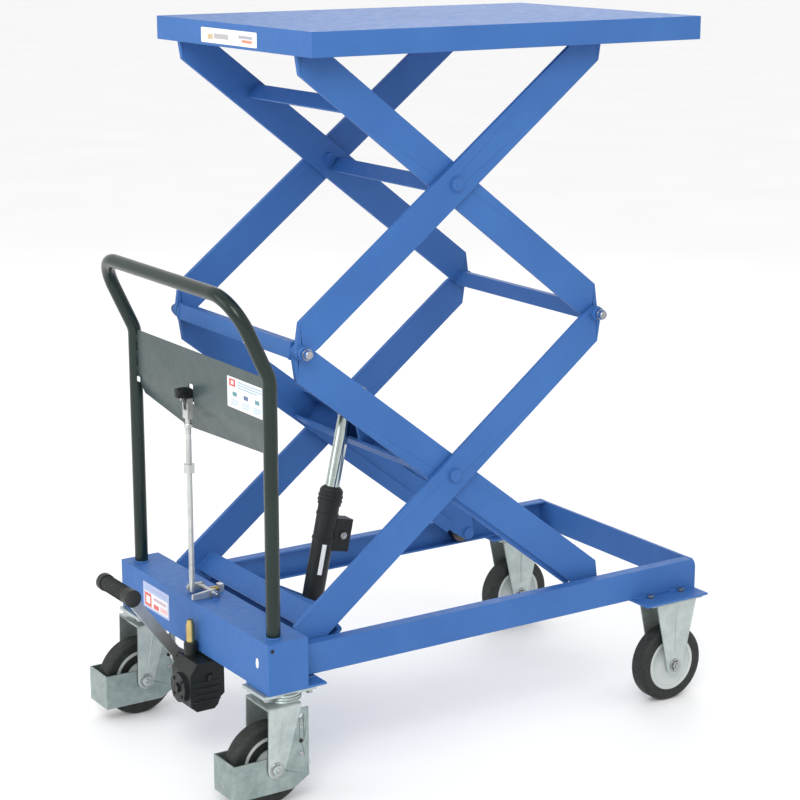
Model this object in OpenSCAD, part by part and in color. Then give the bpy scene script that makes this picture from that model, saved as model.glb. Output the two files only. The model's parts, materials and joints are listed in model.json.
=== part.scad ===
// Mobile two-stage scissor lift table, drawn raised.
// +Z up, +X from the push handle to the fixed casters, origin on the floor
// below the middle of the outline. Lengths along X below are measured from a
// working datum near the scissor's handle end; place() shifts it to the origin.

/* [Deck] */
// Length of the deck
deck_l = 822; // [818:1:826]
// Width of the deck
deck_w = 550; // [540:5:600]
// Height of the deck top above the floor when raised
deck_h = 1320; // [1318:1:1322]
// Depth of the folded deck skirt
skirt_h = 42; // [41:0.5:43]
// Sheet thickness of the deck
deck_t = 3.2; // [2.8:0.1:3.4]

/* [Scissor] */
// Horizontal half span of a raised arm, pin to crossing
half_run = 314; // [312:1:316]
// Vertical half span of a raised arm, pin to crossing
half_rise = 262.5; // [261:0.5:264]
// Height of the lower crossing above the floor
crossing_z = 520; // [518:1:522]
// Distance of the crossings from the working datum
crossing_x = 315; // [314:1:316]
// Width of the flat arms
arm_w = 62; // [58:1:64]
// Thickness of the flat arms
arm_t = 9; // [8:0.5:9]
// Angle between the line through an arm's pins and the arm's own centre line
arm_skew = 1.95; // [1.7:0.05:2]
// Diameter of the pivot pins
pin_d = 16; // [14:1:17]

/* [Base] */
// Distance of the side rails' outer faces from the centre plane
rail_y = 250; // [249:0.5:251]
// Top of the rear box above the floor
box_top = 300; // [298:1:302]
// Half width of the rear box
box_y = 283; // [281:1:285]

/* [Handle] */
// Diameter of the handle tube
tube_d = 25; // [22:1:27]
// Distance of the handle posts from the centre plane
post_y = 252; // [250:1:254]
// Height of the handle's top bar
bar_z = 894; // [880:1:900]
// How far the top bar leans out beyond the posts
bar_lean = 67; // [60:1:72]

/* [Casters] */
// Diameter of the four wheels
wheel_d = 150; // [148:1:152]
// Width of the four wheels
wheel_w = 40; // [36:1:42]

/* [Hidden] */
$fn = 48;

// running clearance round a pin, and the small gap between moving faces
fit = 0.05;
gap = 0.3;

// scissor: outer arms lie outside the inner ones
theta = atan2(half_rise, half_run);
half_arm = norm([half_run, half_rise]);
outer_y = 223;
outer_in = outer_y - arm_t;
inner_y = outer_in - 2;
inner_in = inner_y - arm_t;
end_r = 14;
pin_r = pin_d / 2;
ring_r = 12;
ring_t = 4;

// base rails
rail_z = 216;
rail_h = 56;
rail_t = 4;
rail_d = 24;
rail_end = 864;
plate_end = 870;
base_z = rail_z + rail_h / 2;
base_roller_r = rail_h / 2 - rail_t - gap;

// deck and its guide rails
deck_x0 = -6;
deck_under = deck_h - deck_t;
deck_low = deck_h - skirt_h;
guide_t = 3;
guide_in = 226;
guide_out = 252;
top_z = (deck_low + deck_under) / 2;
deck_roller_r = (deck_under - deck_low) / 2 - guide_t - 0.4;

// joint places, [x, z]
low_ratio = (crossing_z - base_z) / half_rise;
upper_z = crossing_z + 2 * half_rise;
top_ratio = (top_z - upper_z) / half_rise;
lower_crossing = [crossing_x, crossing_z];
upper_crossing = [crossing_x, upper_z];
base_pivot = [crossing_x - low_ratio * half_run, base_z];
base_roller = [crossing_x + low_ratio * half_run, base_z];
mid_left = [crossing_x - half_run, crossing_z + half_rise];
mid_right = [crossing_x + half_run, crossing_z + half_rise];
top_pivot = [crossing_x - top_ratio * half_run, top_z];
top_roller = [crossing_x + top_ratio * half_run, top_z];

// hydraulic cylinder, from the foot pin to the lift pin
foot_u = 115.6;
foot_v = -108.4;
lift_s = 143;
lift_d = 40.7;
cyl_foot = base_pivot + foot_u * [cos(theta), sin(theta)] + foot_v * [-sin(theta), cos(theta)];
lift_point = lower_crossing + lift_s * [-cos(theta), sin(theta)] + lift_d * [sin(theta), cos(theta)];
cyl_run = lift_point - cyl_foot;
cyl_len = norm(cyl_run);
cyl_tilt = atan2(cyl_run[0], cyl_run[1]);
foot_pin_r = 10;
lift_pin_r = 12;
barrel_r = 20;
barrel_len = 229;
rod_r = 13;
ear_in = 26;
ear_out = 34;

// rear box and its caster plates
box_back = -108;
box_front = -29;
box_t = 4;
box_plate_z = 211;
box_plate_front = 8;
box_plate_in = 203;

// casters
wheel_r = wheel_d / 2;
hub_r = 53;
axle_r = 6;
swivel_x = -64;
swivel_y = 250;
trail = 34;
swivel_z = 207;
fixed_x = 800;
fixed_y = 252;
fixed_z = 212;
leg_in = 25;
swivel_leg_in = 37;
leg_t = 3.5;
guard_reach = 82;

// handle
post_x = -80;
bend_z = 752;
bend_r = 45;
corner_r = 66;
lean = atan2(bar_lean, bar_z - bend_z);
loop_len = norm([bar_lean, bar_z - bend_z]);
panel_t = 2.5;
fold_z = 660;

// release gear: the lever and the crank turn together
lever_pivot = [-66, 660];
crank_pivot = [-66, 309];
link = 22;
link_y = 30;

// foot pump
pedal_pivot = [-120, 188];
pedal_y = 30;
grip_at = [-215, 318];
grip_r = 16;
plunger_at = [-121, -23];

// the guards or the grip reach furthest back, the plate or the wheels furthest forward
low_x = min(swivel_x - trail - guard_reach, grip_at[0] - grip_r);
high_x = max(plate_end, fixed_x + wheel_r);
mid_x = (high_x + low_x) / 2;

blue = "#3f74bd";
dark_green = "#20302e";
zinc = "#b9c0be";
steel = "#a9adb0";
black = "#1c1d20";
yellow_zinc = "#b59a4a";

// ---------- helpers ----------

// Shift from the working datum to the origin
module place() {
    translate([-mid_x, 0, 0]) children();
}

// Cylinder along Y from y0 to y1 at p = [x, z]
module rod_y(r, y0, y1, p) {
    translate([p[0], y0, p[1]])
        rotate([-90, 0, 0])
            cylinder(r = r, h = y1 - y0);
}

// Plate drawn in the XZ plane, from y0 to y1
module plate_y(y0, y1) {
    translate([0, y1, 0])
        rotate([90, 0, 0])
            linear_extrude(height = y1 - y0)
                children();
}

// Box between its low and high corners
module block(a, b) {
    translate(a) cube(b - a);
}

module far() {
    mirror([0, 1, 0]) children();
}

module both() {
    children();
    far() children();
}

// Frame at p = [x, z] turned by ang in the XZ plane
module turned(p, ang) {
    translate([p[0], 0, p[1]])
        rotate([0, -ang, 0])
            children();
}

// Point where a line from p touches the circle of radius r round c
function touch(c, p, r, side) =
    let (v = p - c, a = atan2(v[1], v[0]) + side * acos(r / norm(v)))
    c + r * [cos(a), sin(a)];

// One flat arm along X with its crossing at the origin, in the XZ plane.
// rise is +1 or -1 for the way it climbs; left and right are pin distances.
module arm_outline(rise, left, right) {
    lp = rise * left * sin(arm_skew);
    rp = rise * right * sin(arm_skew);
    cl = [-left * cos(arm_skew), -lp];
    cr = [right * cos(arm_skew), rp];
    h = arm_w / 2;
    chamfer = 28;
    tl = [cl[0] + chamfer, h];
    bl = [cl[0] + chamfer, -h];
    tr = [cr[0] - chamfer, h];
    br = [cr[0] - chamfer, -h];
    // just inside the round ends, so that the edges cross them and don't graze
    r = end_r - 0.6;
    polygon([
        tl, touch(cl, tl, r, 1), touch(cl, bl, r, -1), bl,
        br, touch(cr, br, r, 1), touch(cr, tr, r, -1), tr
    ]);
    translate(cl) circle(r = end_r);
    translate(cr) circle(r = end_r);
}

module arm(at, rise, left, right, y0) {
    turn = rise * (theta - arm_skew);
    turned(at, turn)
        difference() {
            plate_y(-y0, -y0 + arm_t)
                arm_outline(rise, left, right);
            for (d = [-left, 0, right])
                rod_y(pin_r + fit, -y0 - 1, -y0 + arm_t + 1,
                      d * [cos(rise * arm_skew), sin(rise * arm_skew)]);
        }
}

// Pin through both arms: head outside, ring inside
module crossing_pin(p) {
    rod_y(pin_r, -outer_y - gap, -inner_in, p);
    rod_y(ring_r, -outer_y - gap - 4.7, -outer_y - gap, p);
    rod_y(ring_r, -inner_in, -inner_in + ring_t, p);
}

// Angle section between the inner arms, its corner up and to the left
module angle_bar(p, size, t) {
    turned(p, -theta) {
        block([-size / 2, -inner_in, size / 2 - t], [size / 2, inner_in, size / 2]);
        block([-size / 2, -inner_in, -size / 2], [-size / 2 + t, inner_in, size / 2 - t]);
    }
}

// ---------- base frame ----------

module side_rail_near() {
    x0 = box_back + box_t;
    color(blue) {
        block([x0, -rail_y, rail_z], [rail_end, -rail_y + rail_t, rail_z + rail_h]);
        for (z = [rail_z, rail_z + rail_h - rail_t])
            block([x0, -rail_y + rail_t, z], [rail_end, -rail_y + rail_d, z + rail_t]);
    }
}

module side_rail_far() {
    far() side_rail_near();
}

// Folded box across the handle end, open below and towards the scissor
module rear_box() {
    lug_r = 6;
    color(blue) {
        difference() {
            block([box_back, -box_y, box_plate_z], [box_front, box_y, box_top]);
            block([box_back + box_t, -box_y + box_t, box_plate_z - 1],
                  [box_front + 1, box_y - box_t, box_top - box_t]);
        }
        // plates that carry the swivel casters, and spacers up to the side rails
        both() {
            block([box_back, -box_y, swivel_z], [box_plate_front, -box_plate_in, box_plate_z]);
            block([box_back + box_t, -rail_y, box_plate_z],
                  [box_front, -rail_y + rail_d, rail_z]);
        }
        // lugs for the release crank
        for (y = [-24, 44])
            difference() {
                union() {
                    block([crank_pivot[0] - lug_r, y, box_top],
                          [crank_pivot[0] + lug_r, y + 4, crank_pivot[1]]);
                    rod_y(lug_r, y, y + 4, crank_pivot);
                }
                rod_y(4 + fit, y - 1, y + 5, crank_pivot);
            }
    }
}

// Plate across the front end, with the caster plates under the rails
module front_plate() {
    r = 14;
    z1 = rail_z + rail_h - 2;
    color(blue) {
        translate([rail_end, 0, 0])
            rotate([90, 0, 90])
                linear_extrude(height = plate_end - rail_end) {
                    translate([-rail_y, fixed_z]) square([2 * rail_y, z1 - r - fixed_z]);
                    translate([-rail_y + r, z1 - r]) square([2 * rail_y - 2 * r, r]);
                    for (s = [-1, 1])
                        translate([s * (rail_y - r), z1 - r]) circle(r = r);
                }
        both()
            block([713, -296, fixed_z], [rail_end, -206, rail_z]);
    }
}

module base_pivot_pins() {
    color(steel)
        both() {
            rod_y(pin_r, -rail_y + rail_t, -outer_in + gap, base_pivot);
            rod_y(ring_r, -outer_in + gap, -outer_in + ring_t, base_pivot);
        }
}

// ---------- casters ----------

// Top plates, ball races and king pins of the swivel casters
module swivel_top_plates() {
    king = 9;
    color(zinc)
        both()
            translate([swivel_x, -swivel_y, 0]) {
                block([-52, -30, swivel_z - 6], [52, 47, swivel_z]);
                translate([0, 0, swivel_z - 18]) cylinder(r = 32, h = 12);
                translate([0, 0, swivel_z - 30]) cylinder(r = king, h = 12);
                translate([0, 0, swivel_z - 33]) cylinder(r = 15, h = 7);
            }
}

// Hexagon bolts that hold all four casters
module caster_bolts() {
    r = 6.5;
    h = 6;
    color(steel)
        both() {
            for (dx = [-42, 42], dy = [-22, 36])
                translate([swivel_x + dx, -swivel_y + dy, swivel_z - 6 - h])
                    cylinder(r = r, h = h, $fn = 6);
            for (x = [751, 826]) {
                for (y = [-260, -216])
                    translate([x, y, rail_z]) cylinder(r = r, h = h, $fn = 6);
                translate([x, -216, fixed_z - 5 - h]) cylinder(r = r, h = h, $fn = 6);
            }
        }
}

// Legs either side of a wheel, inner mm from its middle plane, with a crown on
// top and the axle dx away
module fork(dx, crown_z, crown_h, crown_w, leg_w, inner) {
    y1 = inner + leg_t;
    x0 = dx / 2 - crown_w / 2;
    x1 = dx / 2 + crown_w / 2;
    difference() {
        union() {
            block([x0, -y1, crown_z - crown_h], [x1, y1, crown_z]);
            both()
                plate_y(-y1, -inner) {
                    polygon([
                        [x0, crown_z - crown_h], [x1, crown_z - crown_h],
                        [dx + leg_w / 2, wheel_r], [dx - leg_w / 2, wheel_r]
                    ]);
                    translate([dx, wheel_r]) circle(r = leg_w / 2);
                }
        }
        rod_y(axle_r + fit, -y1 - 1, y1 + 1, [dx, wheel_r]);
    }
}

// Axle with a hexagon head and nut outside the legs
module axle(dx, inner) {
    y1 = inner + leg_t;
    rod_y(axle_r, -y1, y1, [dx, wheel_r]);
    for (y = [-y1, y1 + 6])
        translate([dx, y, wheel_r])
            rotate([90, 0, 0])
                cylinder(r = 10, h = 6, $fn = 6);
}

module swivel_fork_near() {
    crown_z = swivel_z - 18 - gap;
    color(zinc)
        translate([swivel_x, -swivel_y, 0]) {
            difference() {
                fork(-trail, crown_z, 5.5, 64, 34, swivel_leg_in);
                translate([0, 0, crown_z - 10]) cylinder(r = 9 + fit, h = 12);
            }
            axle(-trail, swivel_leg_in);
        }
}

module swivel_fork_far() {
    far() swivel_fork_near();
}

// Foot guard: a band bent round the trailing side of the wheel
module wheel_guard_near() {
    in_y = 33.5;
    out_y = 36.5;
    z0 = 31;
    z1 = 97;
    up_z = 176;
    front = -guard_reach;
    back = 66;
    color(zinc)
        translate([swivel_x - trail, -swivel_y, 0]) {
            block([front, -out_y, z0], [front + 3, out_y, z1]);
            both() {
                difference() {
                    plate_y(-out_y, -in_y)
                        polygon([
                            [front + 3, z0], [34, z0], [back, 50], [back, up_z],
                            [back - 30, up_z], [back - 46, z1], [front + 3, z1]
                        ]);
                    for (z = [116, 162])
                        rod_y(4.5, -out_y - 1, -in_y + 1, [back - 15, z]);
                    rod_y(axle_r + fit, -out_y - 1, -in_y + 1, [0, wheel_r]);
                }
            }
        }
}

module wheel_guard_far() {
    far() wheel_guard_near();
}

// Pressed forks of the fixed casters, with their top plates
module fixed_forks() {
    top = fixed_z;
    color(zinc)
        both()
            translate([fixed_x, -fixed_y, 0]) {
                block([-68, -38, top - 5], [56, 46, top]);
                fork(0, top - 5, 5, 96, 40, leg_in);
            }
}

module fixed_axles() {
    color(steel)
        both()
            translate([fixed_x, -fixed_y, 0])
                axle(0, leg_in);
}

// Tyre with rounded shoulders, its axle along Y
module tyre(x, y) {
    r = 9;
    h = wheel_w / 2 - 2;
    color(black)
        translate([x, -y, wheel_r])
            rotate([90, 0, 0])
                rotate_extrude()
                    union() {
                        translate([hub_r, -h])
                            square([wheel_r - r - hub_r, 2 * h]);
                        translate([wheel_r - r - 1, -h + r])
                            square([r + 1, 2 * (h - r)]);
                        for (s = [-1, 1])
                            translate([wheel_r - r, s * (h - r)])
                                circle(r = r);
                    }
}

// Wheel centre: rim, dished web and boss, bored for the axle
module hub(x, y) {
    h = wheel_w / 2 - 3;
    boss = leg_in - 1;
    bore = axle_r + fit;
    color(zinc)
        translate([x, -y, wheel_r])
            rotate([90, 0, 0])
                rotate_extrude()
                    polygon([
                        [bore, -boss], [15, -boss], [16, -9], [43, -9], [46, -h], [hub_r, -h],
                        [hub_r, h], [46, h], [43, 9], [16, 9], [15, boss], [bore, boss]
                    ]);
}

module swivel_tyre_near() {
    tyre(swivel_x - trail, swivel_y);
}

module swivel_tyre_far() {
    far() swivel_tyre_near();
}

module swivel_hub_near() {
    hub(swivel_x - trail, swivel_y);
}

module swivel_hub_far() {
    far() swivel_hub_near();
}

module fixed_tyre_near() {
    tyre(fixed_x, fixed_y);
}

module fixed_tyre_far() {
    far() fixed_tyre_near();
}

module fixed_hub_near() {
    hub(fixed_x, fixed_y);
}

module fixed_hub_far() {
    far() fixed_hub_near();
}

// ---------- lower scissor stage ----------

module lower_outer_arm_near() {
    color(blue)
        arm(lower_crossing, 1, low_ratio * half_arm, half_arm, outer_y);
}

module lower_outer_arm_far() {
    far() lower_outer_arm_near();
}

// Channel between the outer arms, with ears for the cylinder's foot
module lower_outer_beam() {
    u0 = 47;
    u1 = 91;
    v0 = -39;
    v1 = 5;
    t = 5;
    color(blue)
        turned(base_pivot, theta) {
            block([u1 - t, -outer_in, v0], [u1, outer_in, v1]);
            block([u0, -outer_in, v1 - t], [u1 - t, outer_in, v1]);
            block([u0, -outer_in, v0], [u1 - t, outer_in, v0 + t]);
            both()
                difference() {
                    plate_y(-ear_out, -ear_in) {
                        polygon([
                            [u1, v1 - 3], [u1, v0], [u1 - 19, v0],
                            [foot_u - 17, foot_v - 6], [foot_u + 18, foot_v + 4]
                        ]);
                        translate([foot_u, foot_v]) circle(r = 18);
                    }
                    rod_y(foot_pin_r + fit, -ear_out - 1, -ear_in + 1, [foot_u, foot_v]);
                }
        }
}

module cylinder_foot_pin() {
    color(steel) {
        rod_y(foot_pin_r, -ear_out, ear_out, cyl_foot);
        both() rod_y(foot_pin_r + 4, -ear_out - 4, -ear_out, cyl_foot);
    }
}

// Inner arm with a stiffener inside its lower edge at the roller end
module lower_inner_arm_near() {
    right = low_ratio * half_arm;
    strip_t = 6;
    color(blue) {
        arm(lower_crossing, -1, half_arm, right, inner_y);
        turned(lower_crossing, arm_skew - theta)
            block([34, -inner_in, -arm_w / 2 - 8],
                  [right - 52, -inner_in + strip_t, -arm_w / 2 + 16]);
    }
}

module lower_inner_arm_far() {
    far() lower_inner_arm_near();
}

// Channel between the lower inner arms, with ears for the lift pin
module lift_beam() {
    t = 5;
    s0 = 49;
    d0 = -30;
    d1 = 25;
    color(blue)
        turned(lower_crossing, -theta) {
            block([-s0 - t, -inner_in, d0], [-s0, inner_in, d1]);
            block([-100, -inner_in, d1 - t], [-s0 - t, inner_in, d1]);
            block([-85, -inner_in, d0], [-s0 - t, inner_in, d0 + t]);
            both()
                difference() {
                    plate_y(-ear_out, -ear_in) {
                        polygon([
                            [-s0 - t, d0 + t], [-85, d0 + t], [-lift_s - 13, lift_d - 13],
                            [-lift_s + 6, lift_d + 17], [-100, d1], [-100, d1 - t],
                            [-s0 - t, d1 - t]
                        ]);
                        translate([-lift_s, lift_d]) circle(r = 18);
                    }
                    rod_y(lift_pin_r + fit, -ear_out - 1, -ear_in + 1, [-lift_s, lift_d]);
                }
        }
}

module lift_pin() {
    color(steel) {
        rod_y(lift_pin_r, -ear_out, ear_out, lift_point);
        both() rod_y(lift_pin_r + 4, -ear_out - 4, -ear_out, lift_point);
    }
}

// Square bar between the inner arms at a mid joint
module tie(p) {
    h = 14;
    turned(p, -10)
        block([-h, -inner_in, -h], [h, inner_in, h]);
}

module lower_tie() {
    color(blue) tie(mid_left);
}

// Crossing pins, left mid pins and roller pins
module lower_inner_pins() {
    color(steel)
        both() {
            crossing_pin(lower_crossing);
            rod_y(pin_r, -246, -inner_in, mid_left);
            rod_y(pin_r, -rail_y + rail_t + gap, -inner_in, base_roller);
            rod_y(ring_r, -inner_in, -inner_in + ring_t, base_roller);
        }
}

// Track roller on the pin at p
module roller(r, y0, y1, p) {
    color(steel)
        difference() {
            rod_y(r, y0, y1, p);
            rod_y(pin_r + fit, y0 - 1, y1 + 1, p);
        }
}

module base_roller_near() {
    roller(base_roller_r, -rail_y + rail_t + gap, -guide_in + 1, base_roller);
}

module base_roller_far() {
    far() base_roller_near();
}

// ---------- upper scissor stage ----------

module upper_outer_arm_near() {
    color(blue)
        arm(upper_crossing, 1, half_arm, top_ratio * half_arm, outer_y);
}

module upper_outer_arm_far() {
    far() upper_outer_arm_near();
}

module deck_roller_pins() {
    color(steel)
        both() {
            rod_y(pin_r, -guide_out + guide_t + gap, -outer_in, top_roller);
            rod_y(ring_r, -outer_in, -outer_in + ring_t, top_roller);
        }
}

module deck_roller_near() {
    roller(deck_roller_r, -guide_out + guide_t + gap, -guide_in, top_roller);
}

module deck_roller_far() {
    far() deck_roller_near();
}

module upper_inner_arm_near() {
    color(blue)
        arm(upper_crossing, -1, top_ratio * half_arm, half_arm, inner_y);
}

module upper_inner_arm_far() {
    far() upper_inner_arm_near();
}

module top_bar() {
    color(blue)
        angle_bar(upper_crossing + 200 * [-cos(theta), sin(theta)], 30, 5);
}

module crossing_bar() {
    color(blue)
        angle_bar(upper_crossing + 30 * [cos(theta), -sin(theta)], 30, 5);
}

module upper_tie() {
    color(blue) tie(mid_right);
}

// Crossing pins, right mid pins and deck pivot pins
module upper_inner_pins() {
    color(steel)
        both() {
            crossing_pin(upper_crossing);
            rod_y(pin_r, -246, -inner_in, mid_right);
            rod_y(pin_r, -outer_in, -inner_in + 12, top_pivot);
            rod_y(ring_r, -outer_in, -inner_y, top_pivot);
            rod_y(ring_r, -inner_in + 9 + gap, -inner_in + 12, top_pivot);
        }
}

// ---------- deck ----------

module deck_tray() {
    w = deck_w / 2;
    x1 = deck_x0 + deck_l;
    color(blue)
        difference() {
            block([deck_x0, -w, deck_low], [x1, w, deck_h]);
            block([deck_x0 + deck_t, -w + deck_t, deck_low - 1],
                  [x1 - deck_t, w - deck_t, deck_under]);
        }
}

// Channels under the deck in which the upper rollers run
module deck_guide_rails() {
    x0 = 560;
    x1 = deck_x0 + deck_l - deck_t;
    color(blue)
        both() {
            block([x0, -guide_out, deck_low], [x1, -guide_out + guide_t, deck_under]);
            for (z = [deck_low, deck_under - guide_t])
                block([x0, -guide_out + guide_t, z], [x1, -guide_in, z + guide_t]);
        }
}

// Brackets under the handle end of the deck for the fixed upper pivots
module deck_brackets() {
    y0 = inner_in - 3;
    color(blue)
        both()
            difference() {
                plate_y(-y0, -y0 + 6)
                    polygon([
                        [top_pivot[0] - 15, deck_under], [top_pivot[0] - 15, top_z - 8],
                        [top_pivot[0] - 8, top_z - 15], [top_pivot[0] + 8, top_z - 15],
                        [top_pivot[0] + 40, deck_under]
                    ]);
                rod_y(pin_r + fit, -y0 - 1, -y0 + 7, top_pivot);
            }
}

// ---------- hydraulic cylinder ----------

// Frame of the cylinder: foot pin at the origin, Z along the rod
module cylinder_frame() {
    translate([cyl_foot[0], 0, cyl_foot[1]])
        rotate([0, cyl_tilt, 0])
            children();
}

module cylinder_barrel() {
    eye = ear_in - 4;
    color(black)
        cylinder_frame()
            difference() {
                union() {
                    translate([0, 0, 12]) cylinder(r = barrel_r, h = barrel_len - 12);
                    translate([0, 0, barrel_len - 28]) cylinder(r = barrel_r + 2, h = 28);
                    rod_y(17, -eye, eye, [0, 0]);
                }
                rod_y(foot_pin_r + fit, -eye - 1, eye + 1, [0, 0]);
                translate([0, 0, 34]) cylinder(r = rod_r + gap, h = barrel_len);
            }
}

// Valve block on the front side of the barrel
module valve_block() {
    color(black)
        cylinder_frame()
            difference() {
                block([14, -15, 116], [50, 15, 178]);
                translate([0, 0, 100]) cylinder(r = barrel_r, h = 100);
            }
}

// Rod with a flat pad that bears on the lift pin
module cylinder_rod() {
    top = cyl_len - lift_pin_r - 0.5;
    pad_t = 10;
    color(steel)
        cylinder_frame() {
            translate([0, 0, 196]) cylinder(r = rod_r, h = top - pad_t - 196);
            translate([0, 0, top - pad_t]) cylinder(r = 24, h = pad_t);
        }
}

// ---------- handle ----------

// Straight tube of length len along local Z
module tube(len) {
    cylinder(r = tube_d / 2, h = len);
}

// Bend of tube of radius r about local Z, starting on local X. It is a hair
// thinner than the straight tube, so that the two always join cleanly.
module tube_bend(r, ang) {
    rotate_extrude(angle = ang)
        translate([r, 0])
            circle(r = tube_d / 2 - 0.02);
}

module handle_tube() {
    rise = bend_r * tan(lean / 2);
    run = loop_len - corner_r;
    bar_end = post_y - corner_r + 0.5;
    color(dark_green) {
        both() {
            translate([post_x, -post_y, box_top]) tube(bend_z - rise - box_top);
            // bend from the post into the leaning loop
            translate([post_x - bend_r, -post_y, bend_z - rise])
                rotate([90, 0, 0])
                    tube_bend(bend_r, lean);
            translate([post_x, -post_y, bend_z])
                rotate([0, -lean, 0]) {
                    translate([0, 0, rise]) tube(run - rise);
                    // round corner into the top bar
                    translate([0, corner_r, run])
                        rotate([0, -90, 0])
                            rotate([0, 0, -90])
                                tube_bend(corner_r, 90);
                }
        }
        rod_y(tube_d / 2, -bar_end, bar_end, [post_x - bar_lean, bar_z]);
    }
}

// Sheet between the posts with a bent lower lip and lugs for the lever
module handle_panel() {
    y1 = post_y - tube_d / 2;
    top = 752;
    lip = [27.5, -66];
    near_z = fold_z - 48;
    far_z = fold_z - 30;
    lug_r = 8;
    color(dark_green) {
        difference() {
            union() {
                block([post_x - panel_t / 2, -y1, fold_z], [post_x + panel_t / 2, y1, top]);
                plate_y(-y1, y1)
                    polygon([
                        [post_x - panel_t / 2, fold_z], [post_x + panel_t / 2, fold_z],
                        [post_x + panel_t / 2 + lip[0], fold_z + lip[1]],
                        [post_x - panel_t / 2 + lip[0], fold_z + lip[1]]
                    ]);
            }
            // lower edge of the lip, deepest a third of the way from the far end
            translate([post_x - 10, 0, 0])
                rotate([90, 0, 90])
                    linear_extrude(height = 60)
                        polygon([[-y1 - 1, fold_z + lip[1] - 9], [-y1 - 1, near_z],
                                 [100, fold_z + lip[1] + 1], [y1 + 1, far_z],
                                 [y1 + 1, fold_z + lip[1] - 9]]);
            // slot for the lever
            block([post_x - 5, link_y - 8, fold_z - 8], [post_x + 8, link_y + 8, fold_z + 30]);
        }
        for (y = [link_y - 16, link_y + 12])
            difference() {
                union() {
                    block([post_x + panel_t / 2, y, lever_pivot[1] - 2],
                          [lever_pivot[0], y + 4, lever_pivot[1] + lug_r]);
                    rod_y(lug_r, y, y + 4, lever_pivot);
                }
                rod_y(4 + fit, y - 1, y + 5, lever_pivot);
            }
    }
}

// ---------- release gear ----------

// Lever through the panel, turning on the lugs behind it
module release_lever() {
    p = lever_pivot;
    c = p + [-link, 0];
    color(black) {
        rod_y(4, link_y - 17, link_y + 17, p);
        difference() {
            plate_y(link_y - 6, link_y + 6) {
                translate(p) circle(r = 8);
                translate(c) circle(r = 7);
                polygon([
                    p + [2, 8], c + [7, 0], c + [-7, 0], c + [-10, 7], c + [-23, 9],
                    c + [-23, 24], c + [4, 24]
                ]);
            }
            rod_y(4, link_y - 7, link_y + 7, c);
        }
    }
}

// Pull rod with a fork at the top, a lock nut and a pin at the bottom
module release_rod() {
    top = lever_pivot + [-link, 0];
    bottom = crank_pivot + [-link, 0];
    fork_low = top[1] - 32;
    color(steel)
        translate([top[0], link_y, 0]) {
            translate([0, 0, bottom[1] - 6]) cylinder(r = 5, h = fork_low - bottom[1] + 6);
            translate([0, 0, 528]) cylinder(r = 11, h = 16, $fn = 6);
            block([-5.5, -9.6, fork_low], [5.5, 9.6, fork_low + 16]);
            for (y = [-9.6, 6.3])
                block([-5.5, y, fork_low + 16], [5.5, y + 3.3, top[1] + 6]);
            translate([0, 0, top[1]]) rod_y(3, -6.3, 6.3, [0, 0]);
            translate([0, 0, bottom[1]]) rod_y(3, 0, 11, [0, 0]);
        }
}

// Crank on the rear box, pulled up by the rod
module release_crank() {
    p = crank_pivot;
    c = p + [-link, 0];
    color(steel) {
        rod_y(4, -25, 49, p);
        difference() {
            plate_y(link_y + 5.5, link_y + 9.5) {
                translate(p) circle(r = 7);
                translate(c) circle(r = 7);
                polygon([p + [0, 7], c + [0, 7], c + [0, -7], p + [0, -7]]);
            }
            rod_y(4, link_y + 5, link_y + 10, c);
        }
        plate_y(-13, -8) {
            translate(p) circle(r = 7);
            polygon([p + [0, 7], p + [-43, 3], p + [-43, -6], p + [0, -7]]);
        }
    }
}

// ---------- foot pump ----------

// Cast pump body with a neck inside the rear box and the pedal's pin
module pump_body() {
    y0 = -75;
    y1 = -5;
    color(black)
        difference() {
            union() {
                plate_y(y0, y1)
                    polygon([
                        [-150, 186], [-136, 206], [-82, 206], [-82, 142], [-90, 136],
                        [-96, 122], [-103, 116], [-138, 116], [-150, 126]
                    ]);
                block([box_back + box_t, y0 + 5, 206], [-84, y1 - 5, box_top - box_t]);
                // round end cover, and the guide of the plunger
                translate([-158, -40, 156])
                    rotate([0, 90, 0])
                        cylinder(r = 27, h = 12);
                translate([plunger_at[0], plunger_at[1], 200]) cylinder(r = 12.5, h = 28);
                rod_y(7, y1, pedal_y + 4 + gap, pedal_pivot);
                rod_y(10, pedal_y + 4 + gap, pedal_y + 8, pedal_pivot);
            }
            translate([plunger_at[0], plunger_at[1], 136]) cylinder(r = 8 + fit, h = 100);
        }
}

module pump_plunger() {
    color(yellow_zinc)
        translate([plunger_at[0], plunger_at[1], 0]) {
            translate([0, 0, 150]) cylinder(r = 8, h = 112);
            translate([0, 0, 262]) cylinder(r1 = 8, r2 = 5, h = 10);
        }
}

// Flat lever with a hub on the pump and a cross shaft for the grip
module pedal_lever() {
    run = grip_at - pedal_pivot;
    reach = norm(run);
    ang = atan2(run[1], run[0]);
    color(zinc) {
        turned(pedal_pivot, ang)
            difference() {
                plate_y(pedal_y - 4, pedal_y + 4) {
                    circle(r = 14);
                    translate([0, -10]) square([reach + 9, 20]);
                }
                rod_y(7 + fit, pedal_y - 5, pedal_y + 5, [0, 0]);
            }
        rod_y(8, 17, pedal_y - 4, grip_at);
        rod_y(8, pedal_y + 4, 126, grip_at);
    }
}

// Rubber sleeve over the cross shaft, slotted for the lever
module pedal_grip() {
    run = grip_at - pedal_pivot;
    color(black)
        difference() {
            union() {
                rod_y(grip_r - 2, 12, 132, grip_at);
                rod_y(grip_r, 12, 22, grip_at);
                rod_y(grip_r, 118, 132, grip_at);
            }
            rod_y(8, 17, 126, grip_at);
            turned(grip_at, atan2(run[1], run[0]))
                block([-30, pedal_y - 4, -10], [9, pedal_y + 4, 10]);
        }
}

// ---------- the part ----------

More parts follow.
